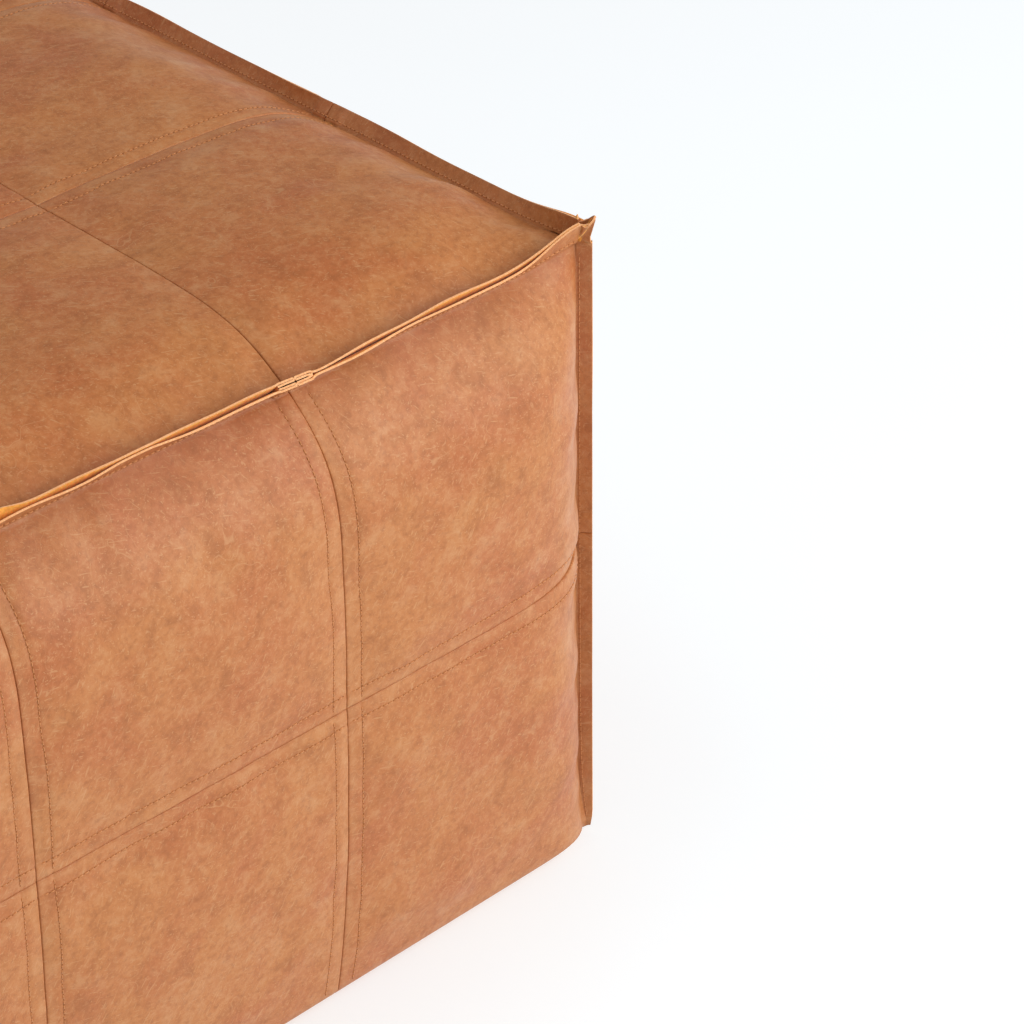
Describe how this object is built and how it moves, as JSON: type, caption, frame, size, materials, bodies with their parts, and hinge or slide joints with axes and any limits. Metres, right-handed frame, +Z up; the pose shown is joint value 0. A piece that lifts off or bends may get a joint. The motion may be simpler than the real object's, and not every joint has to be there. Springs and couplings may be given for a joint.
{
  "type": "leather pouf",
  "caption": "Square patchwork leather floor pouf with turned-out raw-edge seams, a soft filling in a cotton liner, and a zip in its base.",
  "frame": {"origin": "on the floor, under the middle of the base", "axes": "+Z up; -Y is the front; +X to the right along the zip, whose closed end is at +X"},
  "size_m": [0.6648, 0.6648, 0.4116],
  "materials": {
    "leather": "satin",
    "base_leather": "matte",
    "zip_tape": "matte",
    "zip_coil": "satin",
    "zip_metal": "satin",
    "cotton": "matte",
    "filling": "matte"
  },
  "bodies": {
    "cover": {"top_front_left": "leather", "top_front_middle": "leather", "top_front_right": "leather", "top_middle_left": "leather", "top_middle_middle": "leather", "top_middle_right": "leather", "top_back_left": "leather", "top_back_middle": "leather", "top_back_right": "leather", "side_front_left_upper": "leather", "side_front_left_lower": "leather", "side_front_middle_upper": "leather", "side_front_middle_lower": "leather", "side_front_right_upper": "leather", "side_front_right_lower": "leather", "side_right_left_upper": "leather", "side_right_left_lower": "leather", "side_right_middle_upper": "leather", "side_right_middle_lower": "leather", "side_right_right_upper": "leather", "side_right_right_lower": "leather", "side_back_left_upper": "leather", "side_back_left_lower": "leather", "side_back_middle_upper": "leather", "side_back_middle_lower": "leather", "side_back_right_upper": "leather", "side_back_right_lower": "leather", "side_left_left_upper": "leather", "side_left_left_lower": "leather", "side_left_middle_upper": "leather", "side_left_middle_lower": "leather", "side_left_right_upper": "leather", "side_left_right_lower": "leather", "base_front": "base_leather", "base_back": "base_leather", "zip_end_tab_left": "base_leather", "zip_end_tab_right": "base_leather", "zip_tape_front": "zip_tape", "zip_tape_back": "zip_tape", "zip_coil_front": "zip_coil", "zip_coil_back": "zip_coil", "zip_stop_left": "zip_metal", "zip_stop_right": "zip_metal", "liner_top": "cotton", "liner_base": "cotton", "liner_front": "cotton", "liner_right": "cotton", "liner_back": "cotton", "liner_left": "cotton", "filling": "filling"},
    "slider": {"zip_slider": "zip_metal"},
    "pull": {"zip_pull": "zip_metal"}
  },
  "joints": [
    {"name": "zip_run", "type": "slide", "parent": "cover", "child": "slider", "axis": [-1, 0, 0], "range_m": [0, 0.367]},
    {"name": "pull_swing", "type": "hinge", "parent": "slider", "child": "pull", "pos_m": [0.1837, 0, 0.00255], "axis": [0, -1, 0], "range_deg": [0, 170]}
  ]
}
